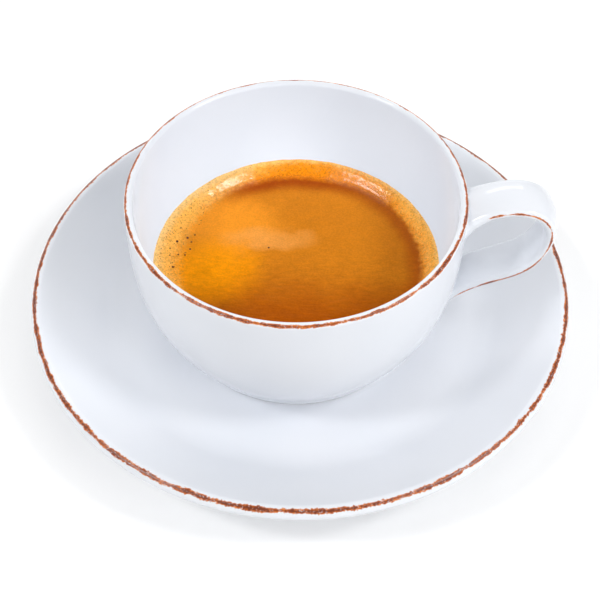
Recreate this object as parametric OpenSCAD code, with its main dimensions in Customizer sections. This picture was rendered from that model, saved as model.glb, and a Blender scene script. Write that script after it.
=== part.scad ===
// Espresso shot in a low porcelain cup, standing on its saucer.
// Millimetres. +Z is up, +X points along the handle, the origin is the middle of the saucer's base.

/* [Saucer] */
// Outer radius of the saucer
saucer_r = 60.8; // [57:0.2:66]
// Height of the saucer's lip above the table
saucer_h = 16.2; // [15:0.1:18]
// Thickness of the rounded outer edge
saucer_edge_t = 3.2; // [2.8:0.1:3.6]
// Height of the flat middle where the cup stands
well_z = 5.5; // [5:0.1:6.5]
// Radius of that flat middle
well_flat_r = 27.5; // [27:0.5:30]
// Radius at which the well turns up into the flange
well_r = 42.5; // [41:0.5:44]
// Slope of the well outside its flat middle, in degrees
well_slope = 5; // [3:0.5:6]
// Radius of the soft bend between well and flange
well_bend_r = 16.5; // [10:0.5:18]
// Outer radius of the foot ring
saucer_foot_r = 37; // [35:0.5:38]
// Width of the foot ring
saucer_foot_w = 3.5; // [3:0.5:5]
// Rounding of the foot ring's two edges
saucer_foot_round = 0.7; // [0.5:0.1:1]
// Radius of the hollow where the foot ring meets the underside
saucer_foot_hollow = 1.2; // [0.8:0.1:1.5]
// Depth of the recess inside the foot ring
saucer_recess = 1.5; // [1:0.1:1.8]

/* [Cup] */
// Outer radius of the cup at its lip
rim_r = 36.4; // [34:0.2:38]
// Height of the cup from its foot to the top of its lip
cup_h = 39.7; // [37:0.1:42]
// Thickness of the rounded lip
lip_t = 1.75; // [1.6:0.05:2.2]
// Radius of the cup's foot
cup_foot_r = 26.6; // [25:0.2:27]
// Width of the foot ring under the cup
cup_foot_w = 3.4; // [2.5:0.1:4]
// Depth of the recess inside that foot ring
cup_recess = 1; // [0.6:0.1:1.4]
// Rounding of the foot's outer edge
cup_foot_round = 0.8; // [0.5:0.1:1]
// Height of the inner floor above the foot
floor_t = 3.9; // [3.5:0.1:4.5]
// Radius of the flat part of the inner floor
floor_r = 14; // [12:0.5:16]
// How early the outside swells towards its full width
outer_early = 3.5; // [2.5:0.1:4]
// How softly the outside leaves the foot
outer_soft = 1.25; // [1.1:0.05:1.5]
// How early the inside swells towards its full width
inner_early = 2.5; // [2:0.1:3.5]
// How softly the inside leaves the floor, steeply below 1
inner_soft = 0.5; // [0.45:0.05:0.7]
// How far the cup stands off the saucer's middle, along X
cup_shift = -1; // [-2:0.5:1]

/* [Handle] */
// Width of the handle's strap
strap_w = 10; // [8:0.1:10.5]
// Thickness of the strap at its rounded edges
strap_t = 2.2; // [2:0.1:2.6]
// How far the strap's outer face is crowned in the middle
strap_crown = 0.7; // [0.3:0.1:1]
// Share of that crown on the face towards the finger
inner_crown = 0.3; // [0:0.1:1]
// Distance from the cup's axis at which the strap turns back
handle_reach = 53.6; // [52:0.1:55]
// Height of the upper root above the cup's foot
upper_root_h = 34.6; // [33:0.1:35]
// Height of the turn above the cup's foot
turn_h = 29.8; // [29:0.1:31]
// Height of the lower root above the cup's foot
lower_root_h = 9.5; // [8.5:0.1:10.5]
// How far inside the middle of the lip's wall the upper root starts
upper_root_in = 0.1; // [0:0.1:0.3]
// How far inside the middle of the lip's wall the lower root ends, deep enough to reach the bowl there
lower_root_in = 4.5; // [4:0.1:5]
// Widening on each side where the strap meets the cup
root_flare = 2.7; // [1.5:0.1:3]
// Share by which its edges thicken there
root_thicken = 1.1; // [0.5:0.1:1.5]
// Length over which the strap widens
root_length = 7.5; // [5:0.5:8]

/* [Espresso] */
// Depth of the drink above the inner floor
drink_depth = 15; // [10:0.5:20]

/* [Hidden] */
$fn = 96;
profile_steps = 32;
arc_step = 6;

// Points of an arc about c, from angle a0 to angle a1
function arc(c, r, a0, a1) =
    let (n = max(2, ceil(abs(a1 - a0) / arc_step)))
    [for (i = [0 : n]) let (a = a0 + (a1 - a0) * i / n) c + r * [cos(a), sin(a)]];

// Saucer: the flange runs from the well's bend to the edge circle, tangent to both
edge_r = saucer_edge_t / 2;
edge_c = [saucer_r - edge_r, saucer_h - edge_r];
turn_z = well_z + (well_r - well_flat_r) * tan(well_slope);
turn_to_edge = edge_c - [well_r, turn_z];
flange_slope = atan2(turn_to_edge[1], turn_to_edge[0]) + asin(edge_r / norm(turn_to_edge));
bend_half = (flange_slope - well_slope) / 2;
bend_start = [well_r, turn_z] - well_bend_r * tan(bend_half) * [cos(well_slope), sin(well_slope)];
bend_c = bend_start + well_bend_r * [-sin(well_slope), cos(well_slope)];

// Underneath, the foot's hollow ends just short of level, and the bend takes over from it
hollow_end = 110;
under_start = well_slope - 88;

saucer_foot_inner = saucer_foot_r - saucer_foot_w;
recess_slope_w = 1;
recess_slope_h = 0.5;

function saucer_outline() = concat(
    [[0, saucer_recess], [saucer_foot_inner - recess_slope_w, saucer_recess]],
    [[saucer_foot_inner, saucer_recess - recess_slope_h]],
    arc([saucer_foot_inner + saucer_foot_round, saucer_foot_round], saucer_foot_round, 180, 270),
    arc([saucer_foot_r - saucer_foot_round, saucer_foot_round], saucer_foot_round, 270, 360),
    arc([saucer_foot_r + saucer_foot_hollow, saucer_recess], saucer_foot_hollow, 180, hollow_end),
    arc(bend_c, well_bend_r + saucer_edge_t, under_start, flange_slope - 90),
    arc(edge_c, edge_r, flange_slope - 90, flange_slope + 90),
    arc(bend_c, well_bend_r, flange_slope - 90, well_slope - 90),
    [[well_flat_r, well_z], [0, well_z]]
);

// Cup: both walls swell along a superellipse between the foot or floor and the lip
lip_r = lip_t / 2;
lip_c = [rim_r - lip_r, well_z + cup_h - lip_r];
floor_z = well_z + floor_t;
foot_top = well_z + cup_foot_round;

function swell(u, early, soft) = pow(1 - pow(1 - u, early), soft);
function outer_point(u) = [
    cup_foot_r + (rim_r - cup_foot_r) * swell(u, outer_early, outer_soft),
    foot_top + (lip_c[1] - foot_top) * u
];
function inner_point(u) = [
    floor_r + (rim_r - lip_t - floor_r) * swell(u, inner_early, inner_soft),
    floor_z + (lip_c[1] - floor_z) * u
];
// Heights along the inner wall, closer together near the floor, where the wall turns fastest
function inner_wall(u_top) = [for (i = [0 : profile_steps]) inner_point(u_top * pow(i / profile_steps, 2))];

function bowl_outline() = concat(
    [[0, well_z + cup_recess], [cup_foot_r - cup_foot_w - recess_slope_w, well_z + cup_recess]],
    [[cup_foot_r - cup_foot_w, well_z]],
    arc([cup_foot_r - cup_foot_round, foot_top], cup_foot_round, 270, 360),
    [for (i = [1 : profile_steps - 1]) outer_point(i / profile_steps)],
    arc(lip_c, lip_r, 0, 90),
    [[0, lip_c[1] + lip_r]]
);

cut_over = 1;
function cavity_outline() = concat(
    [[0, floor_z]],
    inner_wall(1),
    arc(lip_c, lip_r, 180, 90),
    [[rim_r, well_z + cup_h + cut_over], [0, well_z + cup_h + cut_over]]
);

// Drink: it fills the cavity to its level
drink_u = drink_depth / (lip_c[1] - floor_z);
function drink_outline() = concat(
    [[0, floor_z]],
    inner_wall(drink_u),
    [[0, floor_z + drink_depth]]
);

// Handle: two cubic curves in the XZ plane, out over the finger and back to the wall.
// Each end has a pull, [outward, up], which sets the way the strap leaves that end.
wall_mid = rim_r - lip_r;
upper_root = [wall_mid - upper_root_in, well_z + upper_root_h];
turn = [handle_reach, well_z + turn_h];
lower_root = [wall_mid - lower_root_in, well_z + lower_root_h];
upper_root_pull = [7.9, 9];
over_turn_pull = [3.1, 11.5];
under_turn_pull = [-3.3, -12.3];
lower_root_pull = [10.1, 12.7];
handle_upper = [upper_root, upper_root + upper_root_pull, turn + over_turn_pull, turn];
handle_lower = [turn, turn + under_turn_pull, lower_root + lower_root_pull, lower_root];
handle_steps = 18;
strap_r = strap_t / 2;

function bezier(p, t) =
    pow(1 - t, 3) * p[0] + 3 * pow(1 - t, 2) * t * p[1] + 3 * (1 - t) * t * t * p[2] + pow(t, 3) * p[3];
function bezier_way(p, t) =
    pow(1 - t, 2) * (p[1] - p[0]) + 2 * (1 - t) * t * (p[2] - p[1]) + t * t * (p[3] - p[2]);

// 1 at a root of the strap, falling to 0 once the strap is root_length away from the wall
function near_root(x) = pow(max(0, 1 - max(0, x - rim_r) / root_length), 2);

// Outline of the strap across its run: [across, outward], rounded edges and crowned faces
function strap_section(flare) =
    let (flat_w = strap_w / 2 - strap_r + root_flare * flare, grow = 1 + root_thicken * flare)
    concat(
        [for (a = [90 : -30 : -90]) [flat_w + strap_r * cos(a), strap_r * sin(a) * grow]],
        [for (s = [0.5, 0, -0.5]) [flat_w * s, -strap_r * grow - inner_crown * strap_crown * (1 - s * s)]],
        [for (a = [-90 : 30 : 90]) [-flat_w - strap_r * cos(a), strap_r * sin(a) * grow]],
        [for (s = [-0.5, 0, 0.5]) [flat_w * s, strap_r * grow + strap_crown * (1 - s * s)]]
    );

function strap_ring(p, t) =
    let (at = bezier(p, t), way = bezier_way(p, t) / norm(bezier_way(p, t)))
    [for (q = strap_section(near_root(at[0])))
        [at[0] - way[1] * q[1], q[0], at[1] + way[0] * q[1]]];

strap_rings = concat(
    [for (i = [0 : handle_steps]) strap_ring(handle_upper, i / handle_steps)],
    [for (i = [1 : handle_steps]) strap_ring(handle_lower, i / handle_steps)]
);
ring_n = len(strap_rings[0]);
ring_count = len(strap_rings);

module strap() {
    points = [for (ring = strap_rings) for (q = ring) q];
    sides = [for (i = [0 : ring_count - 2]) for (j = [0 : ring_n - 1])
        let (k = (j + 1) % ring_n, a = i * ring_n, b = a + ring_n)
        each [[a + j, b + k, b + j], [a + j, a + k, b + k]]];
    first_end = [[for (j = [ring_n - 1 : -1 : 0]) j]];
    last_end = [[for (j = [0 : ring_n - 1]) (ring_count - 1) * ring_n + j]];
    polyhedron(points, concat(sides, first_end, last_end), convexity = 6);
}

module saucer() {
    color("white") rotate_extrude() polygon(saucer_outline());
}

module cup() {
    color("white")
        translate([cup_shift, 0, 0])
            difference() {
                union() {
                    rotate_extrude() polygon(bowl_outline());
                    strap();
                }
                rotate_extrude() polygon(cavity_outline());
            }
}

module espresso() {
    color("darkorange")
        translate([cup_shift, 0, 0])
            rotate_extrude() polygon(drink_outline());
}

saucer();
cup();
espresso();
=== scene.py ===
# An espresso in a low porcelain cup, standing on its saucer.
# Metres, in the part's own frame: +Z up, +X along the handle, the table at z = 0.
import math

import bpy
import numpy as np
from mathutils import Matrix, Vector, noise


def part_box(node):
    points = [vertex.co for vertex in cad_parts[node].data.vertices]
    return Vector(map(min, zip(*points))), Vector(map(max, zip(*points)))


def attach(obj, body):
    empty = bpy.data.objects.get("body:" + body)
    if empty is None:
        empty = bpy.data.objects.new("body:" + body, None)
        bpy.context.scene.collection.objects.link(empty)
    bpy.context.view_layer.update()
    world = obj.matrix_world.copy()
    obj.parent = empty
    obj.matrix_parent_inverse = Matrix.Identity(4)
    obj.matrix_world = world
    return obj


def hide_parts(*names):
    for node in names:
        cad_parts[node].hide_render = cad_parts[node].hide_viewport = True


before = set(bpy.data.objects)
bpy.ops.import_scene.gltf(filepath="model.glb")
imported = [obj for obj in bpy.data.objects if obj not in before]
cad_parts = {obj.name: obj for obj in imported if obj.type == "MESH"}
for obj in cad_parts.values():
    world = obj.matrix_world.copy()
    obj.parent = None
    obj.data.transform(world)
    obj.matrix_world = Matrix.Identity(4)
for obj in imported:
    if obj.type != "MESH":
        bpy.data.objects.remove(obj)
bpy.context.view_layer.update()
MM = 0.001


# ---------------------------------------------------------------- Saucer
# A dish of hard white porcelain, pressed on a turning mould: a flat middle for the cup, a soft
# bend, a straight flange up to a rounded edge, and a foot ring left bare so that it doesn't stick
# in the kiln. The rest is dipped in clear glaze, and a copper line is dabbed on along the edge.

saucer_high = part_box("saucer")[1] / MM
saucer_r = saucer_high.x
saucer_h = saucer_high.z
saucer_edge_r = 1.6          # rounding of the outer edge, mm, as are the sizes below
well_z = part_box("cup")[0].z / MM
well_flat_r = 27.5
well_r = 42.5
well_slope = 5               # degrees
well_bend_r = 16.5
foot_r = 37
foot_w = 3.5
foot_round = 0.7
foot_fillet = 1.2
foot_inner_fillet = 0.8
foot_recess = 1.5
under_stop = 2               # how far the bend underneath stops short of the flat, degrees
saucer_steps_round = 420
saucer_line_at = 60          # where the copper sits on the rounded edge, degrees up from level
saucer_line_w = 1.15


def arc(centre, radius, start, end, steps):
    """Points of an arc as (distance from the axis, height), its angles in degrees."""
    angles = np.radians(np.linspace(start, end, steps + 1))
    return np.column_stack([centre[0] + radius * np.cos(angles), centre[1] + radius * np.sin(angles)])


def straight(start, end, steps):
    """Points along a straight stretch, its last one left out."""
    share = np.arange(steps)[:, None] / steps
    return np.asarray(start) * (1 - share) + np.asarray(end) * share


def node(tree, kind, inputs=None, **settings):
    """A node with its settings, and its inputs either linked or given a value."""
    made = tree.nodes.new(kind)
    for name, value in settings.items():
        setattr(made, name, value)
    for key, value in (inputs or {}).items():
        if isinstance(value, bpy.types.NodeSocket):
            tree.links.new(value, made.inputs[key])
        else:
            made.inputs[key].default_value = value
    return made


def new_tree(name, kind, inputs, outputs):
    """A node group with named inputs and outputs, each given as name: socket type."""
    tree = bpy.data.node_groups.new(name, kind)
    for direction, sockets in (("INPUT", inputs), ("OUTPUT", outputs)):
        for socket, socket_type in sockets.items():
            tree.interface.new_socket(socket, in_out=direction, socket_type="NodeSocket" + socket_type)
    return tree


def wheel_tree():
    """Turns a profile round the upright axis, closes it and gives it its finish."""
    tree = new_tree(
        "turned_on_the_wheel", "GeometryNodeTree",
        {
            "Profile": "Geometry", "Wheel radius": "Float", "Steps round": "Int", "Weld": "Float",
            "Finish": "Material",
        },
        {"Geometry": "Geometry"},
    )
    given = node(tree, "NodeGroupInput").outputs
    profile = node(tree, "GeometryNodeMeshToCurve", {"Mesh": given["Profile"]})
    wheel = node(
        tree, "GeometryNodeCurvePrimitiveCircle",
        {"Resolution": given["Steps round"], "Radius": given["Wheel radius"]},
    )
    upright = node(tree, "GeometryNodeSetCurveNormal", {"Curve": wheel.outputs["Curve"]}, mode="Z_UP")
    turned = node(
        tree, "GeometryNodeCurveToMesh",
        {"Curve": upright.outputs["Curve"], "Profile Curve": profile.outputs["Curve"]},
    )
    closed = node(
        tree, "GeometryNodeMergeByDistance",
        {"Geometry": turned.outputs["Mesh"], "Distance": given["Weld"]},
    )
    smooth = node(tree, "GeometryNodeSetShadeSmooth", {"Geometry": closed.outputs["Geometry"]})
    real = node(tree, "GeometryNodeRealizeInstances", {"Geometry": smooth.outputs["Geometry"]})
    finished = node(
        tree, "GeometryNodeSetMaterial",
        {"Geometry": real.outputs["Geometry"], "Material": given["Finish"]},
    )
    node(tree, "NodeGroupOutput", {"Geometry": finished.outputs["Geometry"]})
    return tree


def shape_with(piece, tree, **values):
    """Gives a piece the plain mesh that a Geometry Nodes tree makes of it."""
    modifier = piece.modifiers.new("Shape", "NODES")
    modifier.node_group = tree
    sockets = {item.name: item.identifier for item in tree.interface.items_tree if item.in_out == "INPUT"}
    for name, value in values.items():
        modifier[sockets[name.replace("_", " ")]] = value
    graph = bpy.context.evaluated_depsgraph_get()
    mesh = bpy.data.meshes.new_from_object(piece.evaluated_get(graph), depsgraph=graph)
    piece.modifiers.remove(modifier)
    piece.data = mesh
    mesh.name = piece.name


def new_piece(name, points, edges=(), faces=()):
    """A piece at the origin, its points in millimetres."""
    mesh = bpy.data.meshes.new(name)
    mesh.from_pydata((np.asarray(points) * MM).tolist(), edges, faces)
    piece = bpy.data.objects.new(name, mesh)
    bpy.context.scene.collection.objects.link(piece)
    return piece


def store(piece, name, values):
    """Keeps one number for each of the piece's points, for its material to read."""
    layer = piece.data.attributes.new(name, "FLOAT", "POINT")
    layer.data.foreach_set("value", np.asarray(values, dtype=np.float32))


def along_profile(profile, place):
    """Length along a profile from its point nearest to a place, positive towards the underside."""
    lengths = np.cumsum(np.hypot(*np.diff(profile, axis=0, prepend=profile[:1]).T))
    return lengths - lengths[np.hypot(*(profile - place).T).argmin()]


wheel_radius = 100           # any radius that the profile stays clear of, mm
weld = 0.002                 # points nearer than this become one, mm
wheel = wheel_tree()


def turned(name, profile, line_place, steps_round, finish):
    """A piece turned from a profile that runs from the axis at the top to the axis underneath."""
    points = [(r - wheel_radius, -z, 0) for r, z in profile]
    edges = [(i, i + 1) for i in range(len(points) - 1)]
    piece = new_piece(name, points, edges)
    store(piece, "from_line", along_profile(profile, line_place))
    shape_with(
        piece, wheel, Wheel_radius=wheel_radius * MM, Steps_round=steps_round, Weld=weld * MM, Finish=finish
    )
    return piece


def calc(tree, operation, *values):
    """One step of arithmetic on sockets and numbers."""
    inputs = dict(enumerate(values))
    return node(tree, "ShaderNodeMath", inputs, operation=operation).outputs[0]


def ramp(tree, value, start, end, low=0.0, high=1.0, smooth=True):
    """Takes a value from low at start to high at end, and holds it beyond both."""
    kind = "SMOOTHSTEP" if smooth else "LINEAR"
    inputs = {"Value": value, "From Min": start, "From Max": end, "To Min": low, "To Max": high}
    return node(tree, "ShaderNodeMapRange", inputs, interpolation_type=kind, clamp=True).outputs["Result"]


def blend(tree, share, first, second):
    """Two colours mixed by a share. A colour is a socket or three numbers."""
    made = node(tree, "ShaderNodeMix", {0: share}, data_type="RGBA", blend_type="MIX")
    for key, value in ((6, first), (7, second)):
        if isinstance(value, bpy.types.NodeSocket):
            tree.links.new(value, made.inputs[key])
        else:
            made.inputs[key].default_value = (*value, 1)
    return made.outputs[2]


def grain(tree, where, size, detail=2.0, rough=0.5):
    """Soft noise whose patches are about a given size in millimetres."""
    inputs = {"Vector": where, "Scale": 1 / (size * MM), "Detail": detail, "Roughness": rough}
    return node(tree, "ShaderNodeTexNoise", inputs).outputs["Fac"]


def group(tree, effect, inputs):
    """A shared effect placed in a material, with its own values."""
    made = tree.nodes.new("ShaderNodeGroup")
    made.node_tree = effect
    for key, value in inputs.items():
        if isinstance(value, bpy.types.NodeSocket):
            tree.links.new(value, made.inputs[key])
        else:
            made.inputs[key].default_value = value
    return made


copper_thin = (0.66, 0.205, 0.034)
copper_full = (0.38, 0.076, 0.004)
copper_burnt = (0.15, 0.023, 0.001)


def painted_line_group():
    """A line of ceramic copper dabbed on by hand: uneven width, crumbled sides, worn gaps.

    Distances and patch sizes are in millimetres.
    """
    tree = new_tree(
        "painted_line", "ShaderNodeTree",
        {"Distance": "Float", "Width": "Float", "Crumble": "Float", "Wear": "Float"},
        {"Mask": "Float", "Colour": "Color"},
    )
    given = node(tree, "NodeGroupInput").outputs
    where = node(tree, "ShaderNodeTexCoord").outputs["Object"]
    sway = calc(tree, "SUBTRACT", grain(tree, where, size=9), 0.5)
    drift = calc(tree, "MULTIPLY", sway, 0.5)
    distance = calc(tree, "ABSOLUTE", calc(tree, "ADD", given["Distance"], drift))
    swelling = ramp(tree, grain(tree, where, size=3.5), 0.3, 0.7, low=0.7, high=1.25)
    half = calc(tree, "MULTIPLY", calc(tree, "MULTIPLY", given["Width"], 0.5), swelling)
    crumbs = calc(tree, "SUBTRACT", grain(tree, where, size=0.5, detail=3, rough=0.65), 0.5)
    ragged = calc(tree, "ADD", distance, calc(tree, "MULTIPLY", crumbs, given["Crumble"]))
    worn = ramp(tree, grain(tree, where, size=4.5, detail=3, rough=0.65), 0.50, 0.66)
    keep = calc(tree, "SUBTRACT", 1.0, calc(tree, "MULTIPLY", given["Wear"], worn))
    inside = calc(tree, "SUBTRACT", calc(tree, "MULTIPLY", half, keep), ragged)
    holes = ramp(tree, grain(tree, where, size=0.38, detail=2, rough=0.6), 0.33, 0.43, low=0.55)
    mask = calc(tree, "MULTIPLY", ramp(tree, inside, -0.06, 0.10), holes)
    blots = calc(tree, "SUBTRACT", grain(tree, where, size=0.8, detail=3, rough=0.6), 0.5)
    daubs = calc(tree, "ADD", inside, blots)
    colour = blend(tree, ramp(tree, daubs, 0.0, 0.22), copper_thin, copper_full)
    colour = blend(tree, ramp(tree, daubs, 0.20, 0.48), colour, copper_burnt)
    node(tree, "NodeGroupOutput", {"Mask": mask, "Colour": colour})
    return tree


glaze_white = (0.755, 0.772, 0.81)
glaze_pooled = (0.735, 0.757, 0.80)


def glaze_group():
    """Clear glaze over white clay: slow waves in its surface, and a faint change of tone."""
    tree = new_tree(
        "clear_glaze", "ShaderNodeTree",
        {"Wave size": "Float", "Wave height": "Float"},
        {"Colour": "Color", "Roughness": "Float", "Height": "Float"},
    )
    given = node(tree, "NodeGroupInput").outputs
    where = node(tree, "ShaderNodeTexCoord").outputs["Object"]
    inputs = {"Vector": where, "Scale": calc(tree, "DIVIDE", 1 / MM, given["Wave size"]), "Detail": 1.5}
    waves = node(tree, "ShaderNodeTexNoise", inputs).outputs["Fac"]
    tone = grain(tree, where, size=22)
    colour = blend(tree, ramp(tree, tone, 0.3, 0.7), glaze_pooled, glaze_white)
    roughness = ramp(tree, grain(tree, where, size=6), 0.3, 0.7, low=0.115, high=0.155)
    height = calc(tree, "MULTIPLY", waves, calc(tree, "MULTIPLY", given["Wave height"], MM))
    node(tree, "NodeGroupOutput", {"Colour": colour, "Roughness": roughness, "Height": height})
    return tree


painted_line = painted_line_group()
clear_glaze = glaze_group()
bare_clay = (0.70, 0.68, 0.64)
bare_edge = 0.1              # over how far the glaze gives way to bare clay, mm
line_rough = (0.3, 0.3, 0.3)            # roughness of the copper
clay_rough = (0.85, 0.85, 0.85)         # of the bare clay
thrown_rough = (0.7, 0.7, 0.7)          # of the glaze, for the light it throws on its neighbours
line_thick = 0.03            # how far the copper stands proud of the glaze, mm


def porcelain(name, line_w, crumble, wear, wave_size, wave_height, bare_below, bare_from, bare_to):
    """Glazed porcelain with a copper line along the stored distance, bare on the ring it stands on."""
    material = bpy.data.materials.new(name)
    material.use_nodes = True
    tree = material.node_tree
    tree.nodes.clear()
    distance = node(tree, "ShaderNodeAttribute", attribute_name="from_line").outputs["Fac"]
    line = group(
        tree, painted_line, {"Distance": distance, "Width": line_w, "Crumble": crumble, "Wear": wear}
    )
    glaze = group(tree, clear_glaze, {"Wave size": wave_size, "Wave height": wave_height})
    where = node(tree, "ShaderNodeTexCoord").outputs["Object"]
    split = node(tree, "ShaderNodeSeparateXYZ", {"Vector": where}).outputs
    squares = [calc(tree, "POWER", split[axis], 2.0) for axis in ("X", "Y")]
    radius = calc(tree, "SQRT", calc(tree, "ADD", *squares))
    bare = calc(
        tree, "MULTIPLY",
        ramp(tree, split["Z"], (bare_below + bare_edge / 2) * MM, (bare_below - bare_edge / 2) * MM),
        calc(
            tree, "MULTIPLY",
            ramp(tree, radius, (bare_from - bare_edge) * MM, bare_from * MM),
            ramp(tree, radius, (bare_to + bare_edge) * MM, bare_to * MM),
        ),
    )
    colour = blend(tree, line.outputs["Mask"], glaze.outputs["Colour"], line.outputs["Colour"])
    colour = blend(tree, bare, colour, bare_clay)
    roughness = blend(tree, line.outputs["Mask"], glaze.outputs["Roughness"], line_rough)
    roughness = blend(tree, bare, roughness, clay_rough)
    thrown = node(tree, "ShaderNodeLightPath").outputs["Is Diffuse Ray"]
    roughness = blend(tree, thrown, roughness, thrown_rough)
    line_height = calc(tree, "MULTIPLY", line.outputs["Mask"], line_thick * MM)
    height = calc(tree, "ADD", glaze.outputs["Height"], line_height)
    bump = node(tree, "ShaderNodeBump", {"Height": height, "Distance": 1.0, "Strength": 1.0})
    surface = node(
        tree, "ShaderNodeBsdfPrincipled",
        {"Base Color": colour, "Roughness": roughness, "IOR": 1.52, "Normal": bump.outputs["Normal"]},
    )
    node(tree, "ShaderNodeOutputMaterial", {"Surface": surface.outputs["BSDF"]})
    return material


edge_c = np.array([saucer_r - saucer_edge_r, saucer_h - saucer_edge_r])
turn = np.array([well_r, well_z + (well_r - well_flat_r) * math.tan(math.radians(well_slope))])
flange_slope = math.degrees(
    math.atan2(edge_c[1] - turn[1], edge_c[0] - turn[0]) + math.asin(saucer_edge_r / math.dist(edge_c, turn))
)
bend_back = well_bend_r * math.tan(math.radians((flange_slope - well_slope) / 2))
slope_way = np.array([math.cos(math.radians(well_slope)), math.sin(math.radians(well_slope))])
bend_c = turn - bend_back * slope_way + well_bend_r * np.array([-slope_way[1], slope_way[0]])
saucer_t = 2 * saucer_edge_r
bend_top = arc(bend_c, well_bend_r, well_slope - 90, flange_slope - 90, 24)
edge = arc(edge_c, saucer_edge_r, flange_slope + 90, flange_slope - 90, 40)
bend_under = arc(bend_c, well_bend_r + saucer_t, flange_slope - 90, well_slope - 90 + under_stop, 20)
foot_outer = arc((foot_r + foot_fillet, foot_recess), foot_fillet, 110, 180, 6)
foot_end = np.concatenate([
    arc((foot_r - foot_round, foot_round), foot_round, 0, -90, 8),
    arc((foot_r - foot_w + foot_round, foot_round), foot_round, 270, 180, 8),
])
foot_inner_r = foot_r - foot_w - foot_inner_fillet
foot_inner = arc((foot_inner_r, foot_recess - foot_inner_fillet), foot_inner_fillet, 0, 90, 6)
saucer_profile = np.concatenate([
    straight((0, well_z), (well_flat_r, well_z), 12),
    straight((well_flat_r, well_z), bend_top[0], 8),
    bend_top[:-1],
    straight(bend_top[-1], edge[0], 14),
    edge[:-1],
    straight(edge[-1], bend_under[0], 10),
    bend_under,
    foot_outer,
    foot_end,
    foot_inner,
    straight((foot_inner_r - foot_inner_fillet, foot_recess), (0, foot_recess), 6),
    [(0, foot_recess)],
])
saucer_glaze = porcelain(
    "saucer_glaze", saucer_line_w, crumble=1.1, wear=0.35, wave_size=26, wave_height=0.05,
    bare_below=0.25, bare_from=foot_r - foot_w, bare_to=foot_r,
)
line_place = arc(edge_c, saucer_edge_r, saucer_line_at, saucer_line_at, 0)[0]
saucer = turned("saucer_dish", saucer_profile, line_place, saucer_steps_round, saucer_glaze)
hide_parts("saucer")
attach(saucer, "root")


# ---------------------------------------------------------------- Cup
# A low porcelain cup: the bowl is turned thin towards its rounded lip, and the strap handle is
# cast apart and stuck on with slip, which leaves a soft fillet at both roots. Bowl and handle are
# one piece once fired. A copper line runs round the lip and along the handle's front edge.

cup_low, cup_high = (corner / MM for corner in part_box("cup"))
rim_r = cup_high.y           # mm, as are the sizes below
axis_x = cup_low.x + rim_r
cup_h = 39.7
lip_z = well_z + cup_h
lip_r = 0.875
cup_foot_r = 26.6
cup_foot_w = 3.4
cup_foot_round = 0.8
cup_recess = 1.0
cup_recess_slope_w = 1.0     # the recess is reached over this much of its width
floor_r = 14
floor_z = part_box("espresso")[0].z / MM
cup_steps_round = 384
rim_line_at = 54             # where the copper sits on the lip, degrees up from level
cup_line_w = 0.86
outer_early, outer_soft = 3.5, 1.25   # how early and how softly the bowl swells from its foot
inner_early, inner_soft = 2.5, 0.5
lip_c = np.array([rim_r - lip_r, lip_z - lip_r])
foot_top = well_z + cup_foot_round


def swell(share, early, soft):
    """How far a wall has swelled from its foot, 0, to the lip, 1."""
    return (1 - (1 - share) ** early) ** soft


def outer_radius(z):
    """Radius of the bowl's outside at a height."""
    share = np.clip((z - foot_top) / (lip_c[1] - foot_top), 0, 1)
    return cup_foot_r + (rim_r - cup_foot_r) * swell(share, outer_early, outer_soft)


def inner_radius(z):
    """Radius of the bowl's inside at a height."""
    share = np.clip((z - floor_z) / (lip_c[1] - floor_z), 0, 1)
    return floor_r + (lip_c[0] - lip_r - floor_r) * swell(share, inner_early, inner_soft)


inner_heights = floor_z + (lip_c[1] - floor_z) * np.linspace(0, 1, 73) ** 2
outer_heights = np.linspace(lip_c[1], foot_top, 72)
recess_edge = (cup_foot_r - cup_foot_w - cup_recess_slope_w, well_z + cup_recess)
bowl_profile = np.concatenate([
    straight((0, floor_z), (floor_r, floor_z), 8),
    np.column_stack([inner_radius(inner_heights), inner_heights]),
    arc(lip_c, lip_r, 180, 0, 30)[1:-1],
    np.column_stack([outer_radius(outer_heights), outer_heights]),
    arc((cup_foot_r - cup_foot_round, foot_top), cup_foot_round, 0, -90, 8)[1:],
    straight((cup_foot_r - cup_foot_w, well_z), recess_edge, 3),
    straight(recess_edge, (0, well_z + cup_recess), 5),
    [(0, well_z + cup_recess)],
])
cup_glaze = porcelain(
    "cup_glaze", cup_line_w, crumble=0.55, wear=0.5, wave_size=19, wave_height=0.035,
    bare_below=well_z + 0.2, bare_from=cup_foot_r - cup_foot_w, bare_to=cup_foot_r,
)
line_place = arc(lip_c, lip_r, rim_line_at, rim_line_at, 0)[0]
bowl = turned("cup_bowl", bowl_profile, line_place, cup_steps_round, cup_glaze)

# The strap's middle line: up and out from under the lip, over the finger, and back to the wall
strap_r = 1.1
strap_half_w = 10 / 2
strap_crown = 0.66
inner_crown = 0.3            # share of the crown that its inner side has
reach = 53.6
upper_root_h, turn_h, lower_root_h = 34.6, 29.8, 9.5
upper_root_in, lower_root_in = 0.1, 4.5
upper_root_pull, over_turn_pull = (7.9, 9.0), (3.1, 11.5)
under_turn_pull, lower_root_pull = (-3.3, -12.3), (10.1, 12.7)
upper_root = np.array([lip_c[0] - upper_root_in, well_z + upper_root_h])
turn_back = np.array([reach, well_z + turn_h])
lower_root = np.array([lip_c[0] - lower_root_in, well_z + lower_root_h])
upper_run = np.array([upper_root, upper_root + upper_root_pull, turn_back + over_turn_pull, turn_back])
lower_run = np.array([turn_back, turn_back + under_turn_pull, lower_root + lower_root_pull, lower_root])
strap_rings = 150            # rings on each run
line_lean = 14               # where the copper sits on the strap's front edge, degrees out from level
line_start_x = 43            # the line tapers off from here towards the wall
line_end_x = 37              # the same on the lower run
line_taper = 0.12            # how fast it thins there, mm for each mm
handle_line_thin = 1.45      # how much thinner than the rim's line it is
strap_rounds = 3             # how often the ring's points are brought back to their distance
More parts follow.
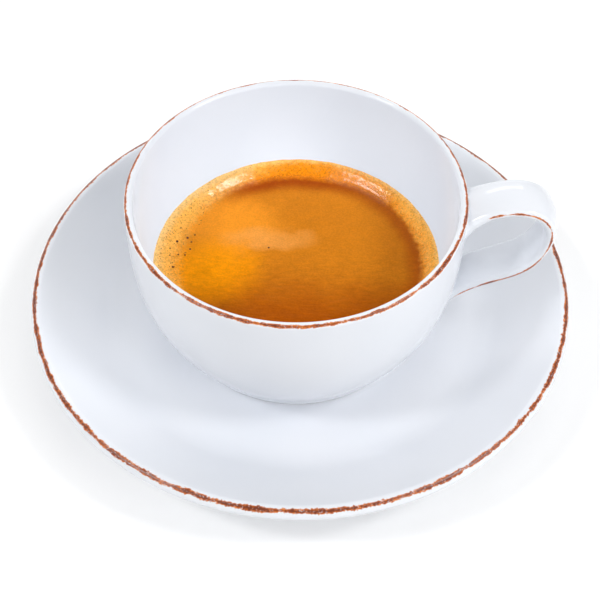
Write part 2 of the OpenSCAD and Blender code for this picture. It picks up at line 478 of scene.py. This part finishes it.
fillet_length = 6.5          # how far out from the wall the strap starts to widen
side_fillet = 1.4            # how much it widens on each side
top_fillet = 1.1             # over the upper root
under_fillet = 3.4           # under the upper root
low_fillet = 1.8             # round the lower root
buried = 0.9                 # how deep its ends reach into the wall


def bezier(run, share):
    """A point of a cubic curve and the way it runs there."""
    a, b, c, d = run
    rest = 1 - share
    point = rest ** 3 * a + 3 * rest ** 2 * share * b + 3 * rest * share ** 2 * c + share ** 3 * d
    way = rest ** 2 * (b - a) + 2 * rest * share * (c - b) + share ** 2 * (d - c)
    return point, way / np.hypot(*way)


def strap_section():
    """The strap cut across: (across, outward) and the direction that the skin faces there."""
    flat = strap_half_w - strap_r
    outline = []
    for side in (1, -1):
        for angle in np.linspace(90, -90, 17) * side:
            turn_by = math.radians(angle)
            outline.append((side * (flat + strap_r * math.cos(turn_by)), strap_r * math.sin(turn_by)))
        for share in np.linspace(1, -1, 15)[1:-1]:
            crown = strap_crown * (inner_crown if side > 0 else 1) * (1 - share ** 2)
            outline.append((side * flat * share, -side * (strap_r + crown)))
    outline = np.array(outline)
    along = np.roll(outline, -1, axis=0) - np.roll(outline, 1, axis=0)
    facing = np.column_stack([-along[:, 1], along[:, 0]])
    return outline, facing / np.hypot(facing[:, 0], facing[:, 1])[:, None]


def wall_distance(place):
    """Distance of points outside the bowl's wall, and the way out from it."""
    radius = np.hypot(place[:, 0], place[:, 1])
    probe = 0.1
    rise = (outer_radius(place[:, 2] + probe) - outer_radius(place[:, 2] - probe)) / (2 * probe)
    scale = 1 / np.hypot(1, rise)
    out = np.column_stack([place[:, 0] / radius * scale, place[:, 1] / radius * scale, -rise * scale])
    return (radius - outer_radius(place[:, 2])) * scale, out


def strap_ring(middle, way, upper):
    """One ring of the strap, spread into a fillet where it comes near the wall.

    The spread follows a quarter circle, and each point then slides back to its own distance from
    the wall, so that the fillet meets the wall without a step.
    """
    normal = np.array([-way[1], 0, way[0]])
    across = np.array([0, 1, 0])
    start = np.array([middle[0], 0, middle[1]])
    place = start + outline[:, :1] * across + outline[:, 1:] * normal
    facing = facings[:, :1] * across + facings[:, 1:] * normal
    outward = facings[:, 1]
    if upper:
        most = np.where(outward > 0, top_fillet, under_fillet)
    else:
        most = np.full(len(outward), low_fillet)
    size = side_fillet * facings[:, 0] ** 2 + most * outward ** 2
    away = np.maximum(wall_distance(place)[0], -buried)
    near = np.clip(1 - away / fillet_length, 0, 1)
    spread = size * (1 - np.sqrt(1 - near ** 2 * 0.9999))
    place = place + facing * spread[:, None]
    for _ in range(strap_rounds):
        now, out = wall_distance(place)
        hold = np.clip(near * 4, 0, 1)[:, None]
        place = place + out * (away - now)[:, None] * hold
    return place


outline, facings = strap_section()
ring_n = len(outline)
rings = []
for share in np.linspace(0, 1, strap_rings + 1):
    rings.append(strap_ring(*bezier(upper_run, share), True))
for share in np.linspace(0, 1, strap_rings + 1)[1:]:
    rings.append(strap_ring(*bezier(lower_run, share), False))
strap_points = np.concatenate(rings)
strap_faces = []
for i in range(len(rings) - 1):
    for j in range(ring_n):
        k = (j + 1) % ring_n
        strap_faces.append((i * ring_n + j, i * ring_n + k, (i + 1) * ring_n + k, (i + 1) * ring_n + j))
strap_faces.append(tuple(range(ring_n - 1, -1, -1)))
strap_faces.append(tuple(range((len(rings) - 1) * ring_n, len(rings) * ring_n)))

bowl_n = len(bowl.data.vertices)
bowl_points = np.empty(bowl_n * 3)
bowl.data.vertices.foreach_get("co", bowl_points)
bowl_points = bowl_points.reshape(-1, 3) / MM
rim_line = np.empty(bowl_n)
bowl.data.attributes["from_line"].data.foreach_get("value", rim_line)
cup_points = np.concatenate([bowl_points, strap_points]) + [axis_x, 0, 0]
cup_faces = [tuple(face.vertices) for face in bowl.data.polygons]
cup_faces += [tuple(index + bowl_n for index in face) for face in strap_faces]
cup = new_piece("cup_and_handle", cup_points, (), cup_faces)
cup.data.materials.append(cup_glaze)
cup.data.polygons.foreach_set("use_smooth", [True] * len(cup.data.polygons))
bpy.data.objects.remove(bowl)

edge_lean = math.radians(line_lean)
line_spot = (strap_r - strap_half_w - strap_r * math.cos(edge_lean), strap_r * math.sin(edge_lean))
handle_line = []
for i, ring in enumerate(rings):
    short = max(0, (line_start_x if i < strap_rings else line_end_x) - ring[:, 0].mean())
    handle_line.append(np.hypot(*(outline - line_spot).T) * handle_line_thin + short * line_taper)
store(cup, "from_line", np.concatenate([rim_line, *handle_line]))
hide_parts("cup")
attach(cup, "root")


# ---------------------------------------------------------------- Espresso
# A short espresso under its crema: a smooth film of brown foam in the middle, and a bank of
# paler, coarser foam that clings to the wall. The drink fills the bowl up to its own level.

drink_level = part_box("espresso")[1].z / MM
crema_steps_round = 448
crema_rings = 150
crowding = 0.45              # how much closer the rings lie towards the wall
below_rings = 14             # rings under the drink's edge, down to the bowl's floor
below_crowding = 1.6         # how much closer these lie towards the floor
edge_rounds = 3              # how often the edge's radius and height are fitted to each other
into_wall = 0.15             # how far the drink reaches into the porcelain, so that no gap shows
level_drop = 0.65            # how far the bank's top lies below the level at the wall
bank_h = 1.6                 # height of the foam bank over the middle
bank_top_w = 1.0             # width of its top
bank_side_w = 2.5            # width of its slope
bank_side_left = 3.2         # how much wider that is on the left
foamy_w = 6.5                # how far from the wall the foam is coarse
foamy_left = 4.0             # how much farther on the left
cling_h = 0.3                # how far the foam climbs where it clings to the wall
cling_w = 0.45
middle_gap = 32.0            # from the middle to the wall


def smooth_step(value, start, end):
    share = np.clip((value - start) / (end - start), 0, 1)
    return share * share * (3 - 2 * share)


def noise_at(x, y, size, layer):
    """Soft noise of about -1 to 1 over the crema, its patches of a given size."""
    return np.array([noise.noise(Vector((a / size, b / size, layer))) for a, b in zip(x, y)])


def crema(x, y, to_wall):
    """Height of the crema against the level at the wall, and how foamy it is, 0 to 1."""
    angle = np.arctan2(y, x)
    left = (0.5 - 0.5 * np.cos(angle)) ** 8
    wander = 0.30 * noise_at(8 * np.cos(angle), 8 * np.sin(angle), 2.4, 7.3)
    side_w = bank_side_w + bank_side_left * left + wander
    bank = smooth_step(-to_wall, -bank_top_w - side_w, -bank_top_w)
    foamy = smooth_step(-to_wall, -foamy_w - foamy_left * left, -bank_top_w)
    lumps = 0.11 * noise_at(x, y, 2.2, 1.7) + 0.06 * noise_at(x, y, 0.9, 5.1)
    swirls = 0.04 * noise_at(x * 0.45, y, 1.6, 3.9) + 0.07 * noise_at(x, y, 11, 9.2)
    cling = cling_h * np.exp(-to_wall / cling_w)
    height = bank_h * (bank - 1) + lumps * foamy + swirls * (1 - foamy) + cling - level_drop
    return height, foamy


angles = np.linspace(0, 2 * math.pi, crema_steps_round, endpoint=False)
top_r = np.full(crema_steps_round, inner_radius(drink_level))
for _ in range(edge_rounds):
    edge_h = crema(top_r * np.cos(angles), top_r * np.sin(angles), np.zeros_like(top_r))[0]
    top_r = inner_radius(drink_level + edge_h)
middle_h = float(crema(np.zeros(1), np.zeros(1), np.full(1, middle_gap))[0][0])
crema_points = [(0, 0, drink_level + middle_h)]
foam = [0.0]
wall_gap = [middle_gap]
for i in range(1, crema_rings + 1):
    share = i / crema_rings
    share = 1 - (1 - share) * (1 - crowding * share)
    radius = top_r * share
    x, y = radius * np.cos(angles), radius * np.sin(angles)
    height, bank = crema(x, y, top_r - radius)
    if i == crema_rings:
        x, y = x * (1 + into_wall / top_r), y * (1 + into_wall / top_r)
    crema_points += list(zip(x, y, drink_level + height))
    foam += list(bank)
    wall_gap += list(top_r - radius)
for i in range(1, below_rings + 1):
    share = (1 - i / below_rings) ** below_crowding
    heights = floor_z - into_wall / 2 + (drink_level + edge_h - floor_z) * share
    radius = inner_radius(heights) + into_wall
    crema_points += list(zip(radius * np.cos(angles), radius * np.sin(angles), heights))
    foam += [1.0] * crema_steps_round
    wall_gap += [0.0] * crema_steps_round
crema_points.append((0, 0, floor_z - into_wall / 2))
foam.append(1.0)
wall_gap.append(0.0)
n = crema_steps_round
drink_faces = [(0, 1 + j, 1 + (j + 1) % n) for j in range(n)]
for i in range(crema_rings + below_rings - 1):
    for j in range(n):
        k = (j + 1) % n
        drink_faces.append((1 + i * n + j, 1 + (i + 1) * n + j, 1 + (i + 1) * n + k, 1 + i * n + k))
last = len(crema_points) - 1
drink_faces += [(last, last - n + (j + 1) % n, last - n + j) for j in range(n)]
drink = new_piece("espresso_and_crema", np.array(crema_points) + [axis_x, 0, 0], (), drink_faces)
drink.data.polygons.foreach_set("use_smooth", [True] * len(drink.data.polygons))
store(drink, "foam", foam)
store(drink, "wall_gap", wall_gap)

tan_foam = (0.63, 0.198, 0.009)
pale_film_and_sheen = (0.86, 0.345, 0.068)
light_film = (0.87, 0.290, 0.017)
gold_foam = (0.95, 0.310, 0.001)
deep_foam_and_shade = (0.39, 0.079, 0.0002)
shade_foam = (0.35, 0.056, 0.0002)
orange_foam = (0.84, 0.240, 0.002)
pale_foam = (0.96, 0.440, 0.075)
cream_foam = (0.97, 0.620, 0.230)
pit_brown = (0.26, 0.06, 0.004)
neutral_bounce = (0.90, 0.93, 0.98)
diffuse_bounce = 0.96        # how much of the light that the crema throws on the wall is neutral
glossy_bounce = 0.6          # how much of its mirror image is


def crema_material():
    """Fine brown foam: its tone drifts over the surface, and it turns pale and grainy at the wall.

    Places, widths and patch sizes are in millimetres from the cup's axis or from the wall.
    """
    material = bpy.data.materials.new("crema")
    material.use_nodes = True
    tree = material.node_tree
    tree.nodes.clear()

    def step(operation, *values):
        return calc(tree, operation, *values)

    def slope(value, start, end, low=0.0, high=1.0):
        return ramp(tree, value, start, end, low, high)

    def spot(centre_x, centre_y, half_x, half_y):
        """A soft oval patch, 1 in its middle."""
        over_x = step("DIVIDE", step("SUBTRACT", x_drift, centre_x), half_x)
        over_y = step("DIVIDE", step("SUBTRACT", y_drift, centre_y), half_y)
        away = step("ADD", step("POWER", over_x, 2.0), step("POWER", over_y, 2.0))
        return slope(away, 1.0, 0.0)

    def shift(value, by, amount):
        return step("ADD", value, step("MULTIPLY", by, amount))

    where = node(tree, "ShaderNodeTexCoord").outputs["Object"]
    from_axis = node(
        tree, "ShaderNodeMapping",
        {"Vector": where, "Location": (-axis_x, 0, 0), "Scale": (1 / MM, 1 / MM, 1 / MM)},
        vector_type="POINT",
    )
    split = node(tree, "ShaderNodeSeparateXYZ", {"Vector": from_axis.outputs["Vector"]}).outputs
    x, y = split["X"], split["Y"]
    gap = node(tree, "ShaderNodeAttribute", attribute_name="wall_gap").outputs["Fac"]
    bank = node(tree, "ShaderNodeAttribute", attribute_name="foam").outputs["Fac"]
    slow = step("SUBTRACT", grain(tree, where, size=9, detail=3), 0.5)
    patches = step("SUBTRACT", grain(tree, where, size=2.6, detail=3, rough=0.6), 0.5)
    fine = step("SUBTRACT", grain(tree, where, size=0.42, detail=3, rough=0.7), 0.5)
    mottle = step("SUBTRACT", grain(tree, where, size=1.1, detail=3, rough=0.65), 0.5)
    stretched = node(tree, "ShaderNodeMapping", {"Vector": where, "Scale": (0.34, 1, 1)}, vector_type="POINT")
    ripples = step("SUBTRACT", grain(tree, stretched.outputs["Vector"], size=0.85, rough=0.55), 0.5)
    ripples = step("MULTIPLY", ripples, slope(y, 9, -3, 0.15, 1.0))
    x_drift = shift(x, slow, 9.0)
    y_drift = shift(y, slow, 9.0)
    gap_drift = shift(shift(gap, slow, 2.0), patches, 1.0)

    # The smooth middle: tan at the back with a paler patch, partly painted reflection of the white inner
    # wall; golden to the left; deep brown to the front, partly painted shade
    colour = blend(tree, spot(-16, 12, 15, 13), tan_foam, light_film)
    colour = blend(tree, spot(-19, -4, 14, 13), colour, gold_foam)
    # The paler patch: painted reflection of the inner wall laid over the tan foam
    colour = blend(tree, step("MULTIPLY", spot(-7, 7.2, 13, 4.5), 0.70), colour, pale_film_and_sheen)
    # Deeper brown to the front and lower right: partly the foam's own colour, partly painted shade under the
    # front wall
    front_depth_and_shade = step("MAXIMUM", slope(y_drift, 4, -17), step("MULTIPLY", slope(x_drift, 14, 30), 0.3))
    front_depth_and_shade = step("MULTIPLY", front_depth_and_shade, slope(step("SUBTRACT", x_drift, y_drift), -19, 0, 0.3, 1.0))
    colour = blend(tree, front_depth_and_shade, colour, deep_foam_and_shade)
    # A darker ring inside the bank, from the back round to the right: painted shade of the hollow between the
    # bank and the middle
    right_side = slope(x, -4, 24)
    ring_at = step("SUBTRACT", 4.8, step("MULTIPLY", right_side, 1.3))
    from_ring_middle = step("SUBTRACT", gap_drift, ring_at)
    ring_in = slope(from_ring_middle, 5.0, 0.8)
    ring_out = slope(from_ring_middle, -2.8, -0.5)
    round_the_back = slope(step("ADD", y, step("MULTIPLY", x, 0.75)), 2, 17)
    ring = step("MULTIPLY", step("MULTIPLY", ring_in, ring_out), round_the_back)
    ring = step("MULTIPLY", ring, slope(right_side, 0.0, 1.0, 1.0, 0.72))
    colour = blend(tree, ring, colour, shade_foam)
    # The bank: orange, then pale and grainy against the wall, widest on the left
    left_side = slope(x, 2, -27)
    right_bank = slope(x, 12, 28)
    pale_w = shift(shift(0.6, left_side, 4.6), right_bank, 2.0)
    orange_from = step("ADD", ring_at, 0.9)
    orange_to = step("SUBTRACT", ring_at, 1.9)
    orange = slope(shift(gap_drift, mottle, 1.6), orange_from, orange_to)
    rich = step("MULTIPLY", orange, slope(left_side, 1.0, 0.0, 0.4, 1.0))
    colour = blend(tree, rich, colour, orange_foam)
    colour = blend(tree, step("MULTIPLY", orange, right_bank), colour, light_film)
    grainy_gap = step("SUBTRACT", shift(shift(gap_drift, fine, 3.4), mottle, 4.6), pale_w)
    colour = blend(tree, slope(grainy_gap, 2.0, -2.4), colour, pale_foam)
    at_wall = slope(shift(gap, mottle, 2.4), step("ADD", 1.2, step("MULTIPLY", left_side, 1.6)), 0.1)
    creamy = step("MULTIPLY", at_wall, slope(left_side, 0.0, 1.0, 0.35, 0.75))
    colour = blend(tree, creamy, colour, cream_foam)
    # Pinholes in the bank
    cells = node(tree, "ShaderNodeTexVoronoi", {"Vector": where, "Scale": 1 / (0.9 * MM)})
    pits = step("MULTIPLY", slope(cells.outputs["Distance"], 0.18, 0.08), slope(gap_drift, 8.0, 3.0))
    pits = step("MULTIPLY", pits, slope(mottle, -0.08, 0.05))
    colour = blend(tree, step("MULTIPLY", pits, 0.6), colour, pit_brown)
    # Grain, and relief that grows coarser towards the wall
    speck = step("MULTIPLY", fine, slope(bank, 0.0, 0.8, 0.60, 1.70))
    speck = shift(shift(speck, ripples, 0.50), patches, 0.22)
    bright = node(tree, "ShaderNodeHueSaturation", {"Color": colour, "Value": step("ADD", 1.0, speck)})
    roughness = slope(bank, 0.1, 0.9, 0.36, 0.22)
    relief = step("MULTIPLY", fine, slope(bank, 0.0, 0.8, 0.030 * MM, 0.17 * MM))
    relief = shift(relief, step("MULTIPLY", mottle, bank), 0.20 * MM)
    relief = shift(relief, ripples, 0.07 * MM)
    relief = shift(relief, pits, -0.08 * MM)
    bump = node(tree, "ShaderNodeBump", {"Height": relief, "Distance": 1.0, "Strength": 1.0})
    # Two places at the back of the bank are wet enough to glint
    wet_relief = shift(step("MULTIPLY", mottle, 0.085 * MM), fine, 0.040 * MM)
    wet = node(tree, "ShaderNodeBump", {"Height": wet_relief, "Distance": 1.0, "Strength": 1.0})
    wettest = step("MAXIMUM", spot(-17.5, 22.4, 11, 9), spot(14.2, 25, 11, 9))
    coat = step("MULTIPLY", slope(gap, 5.5, 3.0), slope(wettest, 0.0, 0.6, 0.12, 1.0))
    path = node(tree, "ShaderNodeLightPath").outputs
    thrown = step("MULTIPLY", path["Is Diffuse Ray"], diffuse_bounce)
    mirrored = step("MULTIPLY", path["Is Glossy Ray"], glossy_bounce)
    seen = blend(tree, step("MAXIMUM", thrown, mirrored), bright.outputs["Color"], neutral_bounce)
    surface = node(
        tree, "ShaderNodeBsdfPrincipled",
        {
            "Base Color": seen, "Roughness": roughness, "IOR": 1.36, "Specular IOR Level": 0.1,
            "Coat Weight": coat, "Coat Roughness": 0.09, "Coat IOR": 1.55,
            "Normal": bump.outputs["Normal"], "Coat Normal": wet.outputs["Normal"],
        },
    )
    node(tree, "ShaderNodeOutputMaterial", {"Surface": surface.outputs["BSDF"]})
    return material


drink.data.materials.append(crema_material())
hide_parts("espresso")
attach(drink, "root")

# Bubbles that have risen to the left bank: thin brown domes, a few large ones and many small ones.
# Each large one is given as x and y from the cup's axis and its radius.
large_bubbles = [
    (-25.0, 7.2, 0.30), (-27.2, 5.5, 0.34), (-27.4, -2.2, 0.30), (-23.4, 8.2, 0.20), (-26.7, 9.5, 0.18),
    (-24.0, 6.0, 0.22), (-24.1, 3.8, 0.24), (-26.6, 1.8, 0.22), (-25.1, 2.0, 0.22), (-28.5, 2.9, 0.20),
    (-28.4, 0.9, 0.18), (-6.4, 5.0, 0.22),
]
small_bubble_n = 80
small_bubble_r = (0.06, 0.13)
small_bubble_turn = (170, 20)           # middle of their directions and their spread, degrees
small_bubble_gap = (1.2, 2.8)           # least gap to the wall and the spread beyond it
bubble_flatness = 0.45
bubble_seed = 5
bubble_hollow = (0.085, 0.020, 0.003)
bubble_foot = (0.42, 0.13, 0.010)


def bubble_tree():
    """Sets a flattened dome on each point, at the size stored on it."""
    tree = new_tree(
        "risen_bubbles", "GeometryNodeTree",
        {"Places": "Geometry", "Flatness": "Float", "Finish": "Material"}, {"Geometry": "Geometry"},
    )
    given = node(tree, "NodeGroupInput").outputs
    dome = node(tree, "GeometryNodeMeshIcoSphere", {"Radius": 1.0, "Subdivisions": 3}).outputs["Mesh"]
    flatter = node(tree, "ShaderNodeCombineXYZ", {"X": 1.0, "Y": 1.0, "Z": given["Flatness"]})
    flat_dome = node(
        tree, "GeometryNodeTransform", {"Geometry": dome, "Scale": flatter.outputs["Vector"]}
    )
    size = node(tree, "GeometryNodeInputNamedAttribute", {"Name": "size"}, data_type="FLOAT")
    points = node(tree, "GeometryNodeMeshToPoints", {"Mesh": given["Places"]}).outputs["Points"]
    placed = node(
        tree, "GeometryNodeInstanceOnPoints",
        {
            "Points": points, "Instance": flat_dome.outputs["Geometry"],
            "Scale": size.outputs["Attribute"],
        },
    )
    real = node(
        tree, "GeometryNodeRealizeInstances", {"Geometry": placed.outputs["Instances"]}
    ).outputs["Geometry"]
    smooth = node(tree, "GeometryNodeSetShadeSmooth", {"Geometry": real}).outputs["Geometry"]
    finished = node(tree, "GeometryNodeSetMaterial", {"Geometry": smooth, "Material": given["Finish"]})
    node(tree, "NodeGroupOutput", {"Geometry": finished.outputs["Geometry"]})
    return tree


def bubble_material():
    """A thin brown film: dark in its hollow, lighter where it thins out at its foot."""
    material = bpy.data.materials.new("bubble_film")
    material.use_nodes = True
    tree = material.node_tree
    tree.nodes.clear()
    where = node(tree, "ShaderNodeTexCoord").outputs["Object"]
    edge_on = node(tree, "ShaderNodeLayerWeight", {"Blend": 0.35}).outputs["Facing"]
    tone = calc(tree, "ADD", edge_on, calc(tree, "SUBTRACT", grain(tree, where, 0.3), 0.5))
    colour = blend(tree, ramp(tree, tone, 0.35, 0.95), bubble_hollow, bubble_foot)
    surface = node(
        tree, "ShaderNodeBsdfPrincipled",
        {"Base Color": colour, "Roughness": ramp(tree, tone, 0.2, 0.9, 0.10, 0.22), "IOR": 1.36},
    )
    node(tree, "ShaderNodeOutputMaterial", {"Surface": surface.outputs["BSDF"]})
    return material


def crema_height(x, y):
    """Height of the crema's skin at points given from the cup's axis."""
    to_wall = top_r.mean() - np.hypot(x, y)
    return drink_level + crema(x, y, to_wall)[0]


draw = np.random.default_rng(bubble_seed)
small_angle = np.radians(draw.normal(*small_bubble_turn, small_bubble_n))
least_gap, gap_spread = small_bubble_gap
small_from_axis = top_r.mean() - least_gap - np.abs(draw.normal(0, gap_spread, small_bubble_n))
large_x, large_y, large_r = np.array(large_bubbles).T
bubble_x = np.concatenate([large_x, small_from_axis * np.cos(small_angle)])
bubble_y = np.concatenate([large_y, small_from_axis * np.sin(small_angle)])
bubble_r = np.concatenate([large_r, draw.uniform(*small_bubble_r, small_bubble_n)])
bubble_z = crema_height(bubble_x, bubble_y)
bubbles = new_piece("crema_bubbles", np.column_stack([bubble_x + axis_x, bubble_y, bubble_z]))
store(bubbles, "size", bubble_r * MM)
shape_with(bubbles, bubble_tree(), Flatness=bubble_flatness, Finish=bubble_material())
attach(bubbles, "root")


# ---------------------------------------------------------------- Table, light and camera
# A plain round white table with soft lights all round it, in a pale room. Three of the lights
# show as reflections in the glaze and in the wet foam; the others only fill the shadows.

table_r = 0.55               # metres, as are the sizes of the lights
table_corners = 96
table_turn = np.linspace(0, 2 * math.pi, table_corners, endpoint=False)
table_mesh = bpy.data.meshes.new("table")
table_mesh.from_pydata(
    [(table_r * math.cos(angle), table_r * math.sin(angle), 0) for angle in table_turn],
    [], [tuple(range(table_corners))],
)
table = bpy.data.objects.new("table", table_mesh)
bpy.context.scene.collection.objects.link(table)
table_paint = bpy.data.materials.new("table_paint")
table_paint.use_nodes = True
table_surface = table_paint.node_tree.nodes["Principled BSDF"]
table_surface.inputs["Base Color"].default_value = (0.93, 0.93, 0.93, 1)
table_surface.inputs["Roughness"].default_value = 0.9
table_mesh.materials.append(table_paint)

cup_middle = Vector((axis_x, 0, 25)) * MM
light_distance = 0.9         # from the middle of the cup
# Name, azimuth, elevation, width, height, watts, and whether it shows in the glaze and the foam
soft_lights = [
    ("key", -17, 51, 0.19, 0.19, 2.3, True),
    ("left_glint", 203, 51, 0.15, 0.15, 2.0, True),
    ("back_strip", 92, 30, 0.56, 0.10, 0.75, True),
    ("back_wall", 105, 15, 0.95, 0.50, 4.7, False),
    ("left_wall", 180, 15, 0.50, 0.50, 1.6, False),
    ("left_back_wall", 166, 38, 0.50, 0.50, 0.6, False),
    ("front_wall", -120, 38, 0.60, 0.50, 1.5, False),
    ("right_front_wall", -55, 38, 0.50, 0.50, 2.3, False),
    ("right_low_wall", -30, 15, 0.50, 0.50, 2.2, False),
    ("right_back_wall", 48, 38, 0.60, 0.50, 0.9, False),
    ("ceiling", 0, 84, 0.50, 0.50, 0.85, False),
]


def soft_light(name, azimuth, elevation, width, height, watts, mirrored):
    """A soft light that looks at the cup. Azimuth 0 is +X, 90 is the back."""
    lamp = bpy.data.lights.new(name, "AREA")
    lamp.shape = "RECTANGLE"
    lamp.size = width
    lamp.size_y = height
    lamp.energy = watts
    holder = bpy.data.objects.new(name, lamp)
    turn_by, lift = math.radians(azimuth), math.radians(elevation)
    way = Vector((math.cos(turn_by) * math.cos(lift), math.sin(turn_by) * math.cos(lift), math.sin(lift)))
    holder.location = cup_middle + way * light_distance
    holder.rotation_euler = way.to_track_quat("Z", "Y").to_euler()
    holder.visible_glossy = mirrored
    bpy.context.scene.collection.objects.link(holder)


for light in soft_lights:
    soft_light(*light)

room_fill = 0.09             # how brightly the room lights the object
room_in_glaze = 0.6          # how brightly it mirrors in the glaze
world = bpy.data.worlds.new("pale_room")
world.use_nodes = True
room_tree = world.node_tree
room = room_tree.nodes["Background"]
room.inputs["Color"].default_value = (0.95, 0.97, 1.0, 1)
room_path = node(room_tree, "ShaderNodeLightPath").outputs
seen_direct = calc(room_tree, "MULTIPLY", room_path["Is Camera Ray"], 1.0 - room_fill)
mirrored_room = calc(room_tree, "MULTIPLY", room_path["Is Glossy Ray"], room_in_glaze - room_fill)
room_light = calc(room_tree, "ADD", calc(room_tree, "ADD", seen_direct, mirrored_room), room_fill)
room_tree.links.new(room_light, room.inputs["Strength"])
bpy.context.scene.world = world
bpy.context.scene.view_settings.view_transform = "Standard"

camera_target = Vector((0.074, -4.976, 16.0)) * MM
camera_distance = 313.5 * MM
camera_lift = math.radians(50.12)
camera_turn = math.radians(2)
camera_roll = math.radians(0.27)
camera_lens = 83.69          # mm
camera_sensor_w = 36
back = Vector((
    math.cos(camera_lift) * math.sin(camera_turn),
    -math.cos(camera_lift) * math.cos(camera_turn),
    math.sin(camera_lift),
))
level = Vector((math.cos(camera_turn), math.sin(camera_turn), 0))
upward = back.cross(level)
right = math.cos(camera_roll) * level + math.sin(camera_roll) * upward
upward = back.cross(right)
camera = bpy.data.objects.new("camera", bpy.data.cameras.new("camera"))
camera.data.lens = camera_lens
camera.data.sensor_width = camera_sensor_w
camera.matrix_world = Matrix.Translation(camera_target + back * camera_distance) @ Matrix(
    (right, upward, back)
).transposed().to_4x4()
bpy.context.scene.collection.objects.link(camera)
bpy.context.scene.camera = camera
